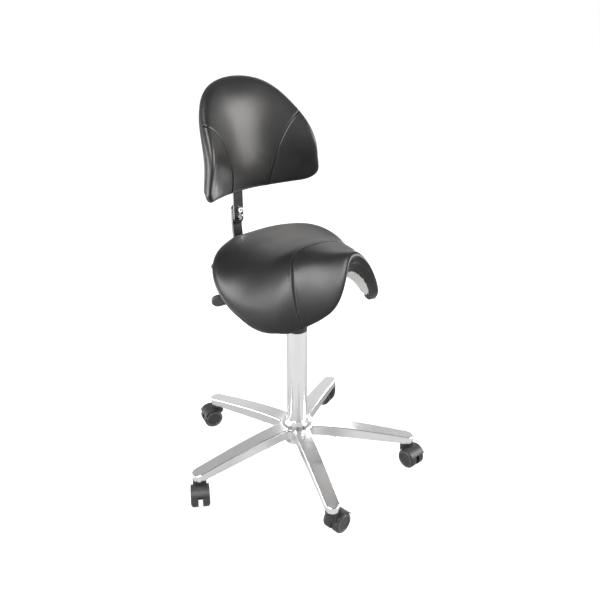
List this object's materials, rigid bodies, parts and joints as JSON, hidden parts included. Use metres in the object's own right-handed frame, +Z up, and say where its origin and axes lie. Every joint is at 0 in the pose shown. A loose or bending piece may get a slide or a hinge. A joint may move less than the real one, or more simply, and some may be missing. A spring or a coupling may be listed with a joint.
{
  "type": "drum throne",
  "caption": "Height-adjustable saddle-seated throne with a wrap-round backrest on a polished star base with twin-wheel castors, tilt, recline and gas lift.",
  "frame": {"origin": "on the floor, on the axis of the column", "axes": "+Z up along the column; the rider faces -Y, rider's right is -X"},
  "size_m": [0.5928, 0.5869, 0.944],
  "materials": {
    "polished_base": "polished",
    "bright_tube": "polished",
    "black_plastic": "fine grain",
    "wheel_plastic": "satin",
    "steel": "plain",
    "black_steel": "gloss",
    "rubber": "matt",
    "shell_plastic": "matt",
    "dark_shell": "matt",
    "upholstery": "fine grain"
  },
  "bodies": {
    "base": {"star_base": "polished_base", "column_tube": "bright_tube", "guide_collar": "black_plastic", "thrust_bearing": "steel"},
    "spindle": {"piston_rod": "steel", "bearing_washer": "steel", "bump_stop": "rubber", "rod_clip": "steel"},
    "mechanism": {"gas_cylinder": "black_steel", "mechanism_housing": "black_steel", "tilt_pin": "steel", "recline_pin": "steel"},
    "release": {"release_button": "steel"},
    "height_lever": {"height_lever": "steel", "height_handle": "black_plastic"},
    "tilt_lever": {"tilt_lever": "steel", "tilt_handle": "black_plastic"},
    "seat": {"seat_plate": "black_steel", "seat_screw_1": "steel", "seat_screw_2": "steel", "seat_screw_3": "steel", "seat_screw_4": "steel", "seat_shell": "shell_plastic", "seat_pad": "upholstery"},
    "back": {"back_carrier": "black_steel", "carrier_bolt_1": "steel", "carrier_bolt_2": "steel", "back_bar": "black_steel", "back_stem": "black_steel", "lap_screw_1": "bright_tube", "lap_screw_2": "bright_tube", "back_screw_1": "steel", "back_screw_2": "steel", "back_shell": "dark_shell", "back_pad": "upholstery"},
    "castor_1": {"castor_1_housing": "black_plastic", "castor_1_stem": "steel", "castor_1_axle": "steel"},
    "castor_1_left": {"castor_1_wheel_left": "wheel_plastic"},
    "castor_1_right": {"castor_1_wheel_right": "wheel_plastic"},
    "castor_2": {"castor_2_housing": "black_plastic", "castor_2_stem": "steel", "castor_2_axle": "steel"},
    "castor_2_left": {"castor_2_wheel_left": "wheel_plastic"},
    "castor_2_right": {"castor_2_wheel_right": "wheel_plastic"},
    "castor_3": {"castor_3_housing": "black_plastic", "castor_3_stem": "steel", "castor_3_axle": "steel"},
    "castor_3_left": {"castor_3_wheel_left": "wheel_plastic"},
    "castor_3_right": {"castor_3_wheel_right": "wheel_plastic"},
    "castor_4": {"castor_4_housing": "black_plastic", "castor_4_stem": "steel", "castor_4_axle": "steel"},
    "castor_4_left": {"castor_4_wheel_left": "wheel_plastic"},
    "castor_4_right": {"castor_4_wheel_right": "wheel_plastic"},
    "castor_5": {"castor_5_housing": "black_plastic", "castor_5_stem": "steel", "castor_5_axle": "steel"},
    "castor_5_left": {"castor_5_wheel_left": "wheel_plastic"},
    "castor_5_right": {"castor_5_wheel_right": "wheel_plastic"}
  },
  "joints": [
    {"name": "seat_swivel", "type": "hinge", "parent": "base", "child": "spindle", "pos_m": [0, 0, 0.07], "axis": [0, 0, 1], "continuous": true},
    {"name": "seat_height", "type": "slide", "parent": "spindle", "child": "mechanism", "axis": [0, 0, 1], "range_m": [0, 0.2]},
    {"name": "seat_tilt", "type": "hinge", "parent": "mechanism", "child": "seat", "pos_m": [0, -0.052, 0.462], "axis": [1, 0, 0], "range_deg": [-3, 8]},
    {"name": "back_recline", "type": "hinge", "parent": "mechanism", "child": "back", "pos_m": [0, 0.062, 0.455], "axis": [-1, 0, 0], "range_deg": [0, 18]},
    {"name": "height_lever_lift", "type": "hinge", "parent": "mechanism", "child": "height_lever", "pos_m": [-0.04375, 0.02272, 0.46808], "axis": [0.4617, 0.887, 0], "range_deg": [0, 3], "stiffness_Nm_per_rad": 4, "springref_deg": -2.86},
    {"name": "tilt_lever_press", "type": "hinge", "parent": "mechanism", "child": "tilt_lever", "pos_m": [-0.04375, 0.06125, 0.46946], "axis": [-0.9276, -0.3735, 0], "range_deg": [0, 5]},
    {"name": "button_press", "type": "slide", "parent": "mechanism", "child": "release", "axis": [0, 0, -1], "range_m": [0, 0.0035]},
    {"name": "castor_1_swivel", "type": "hinge", "parent": "base", "child": "castor_1", "pos_m": [0.24945, 0.13152, 0.06], "axis": [0, 0, 1], "continuous": true},
    {"name": "castor_1_roll_left", "type": "hinge", "parent": "castor_1", "child": "castor_1_left", "pos_m": [0.24425, 0.14823, 0.025], "axis": [-0.9548, -0.2974, 0], "continuous": true},
    {"name": "castor_1_roll_right", "type": "hinge", "parent": "castor_1", "child": "castor_1_right", "pos_m": [0.24425, 0.14823, 0.025], "axis": [-0.9548, -0.2974, 0], "continuous": true},
    {"name": "castor_2_swivel", "type": "hinge", "parent": "base", "child": "castor_2", "pos_m": [-0.048, 0.27788, 0.06], "axis": [0, 0, 1], "continuous": true},
    {"name": "castor_2_roll_left", "type": "hinge", "parent": "castor_2", "child": "castor_2_left", "pos_m": [-0.06467, 0.28321, 0.025], "axis": [-0.304, -0.9527, 0], "continuous": true},
    {"name": "castor_2_roll_right", "type": "hinge", "parent": "castor_2", "child": "castor_2_right", "pos_m": [-0.06467, 0.28321, 0.025], "axis": [-0.304, -0.9527, 0], "continuous": true},
    {"name": "castor_3_swivel", "type": "hinge", "parent": "base", "child": "castor_3", "pos_m": [-0.27912, 0.04022, 0.06], "axis": [0, 0, 1], "continuous": true},
    {"name": "castor_3_roll_left", "type": "hinge", "parent": "castor_3", "child": "castor_3_left", "pos_m": [-0.28908, 0.02583, 0.025], "axis": [0.8221, -0.5693, 0], "continuous": true},
    {"name": "castor_3_roll_right", "type": "hinge", "parent": "castor_3", "child": "castor_3_right", "pos_m": [-0.28908, 0.02583, 0.025], "axis": [0.8221, -0.5693, 0], "continuous": true},
    {"name": "castor_4_swivel", "type": "hinge", "parent": "base", "child": "castor_4", "pos_m": [-0.12451, -0.25303, 0.06], "axis": [0, 0, 1], "continuous": true},
    {"name": "castor_4_roll_left", "type": "hinge", "parent": "castor_4", "child": "castor_4_left", "pos_m": [-0.10705, -0.25172, 0.025], "axis": [-0.075, 0.9972, 0], "continuous": true},
    {"name": "castor_4_roll_right", "type": "hinge", "parent": "castor_4", "child": "castor_4_right", "pos_m": [-0.10705, -0.25172, 0.025], "axis": [-0.075, 0.9972, 0], "continuous": true},
    {"name": "castor_5_swivel", "type": "hinge", "parent": "base", "child": "castor_5", "pos_m": [0.20217, -0.1966, 0.06], "axis": [0, 0, 1], "continuous": true},
    {"name": "castor_5_roll_left", "type": "hinge", "parent": "castor_5", "child": "castor_5_left", "pos_m": [0.20134, -0.21408, 0.025], "axis": [0.9989, -0.0471, 0], "continuous": true},
    {"name": "castor_5_roll_right", "type": "hinge", "parent": "castor_5", "child": "castor_5_right", "pos_m": [0.20134, -0.21408, 0.025], "axis": [0.9989, -0.0471, 0], "continuous": true}
  ],
  "couplings": [
    {"joint": "button_press", "follows": "height_lever_lift", "m_per_rad": 0.05078}
  ]
}
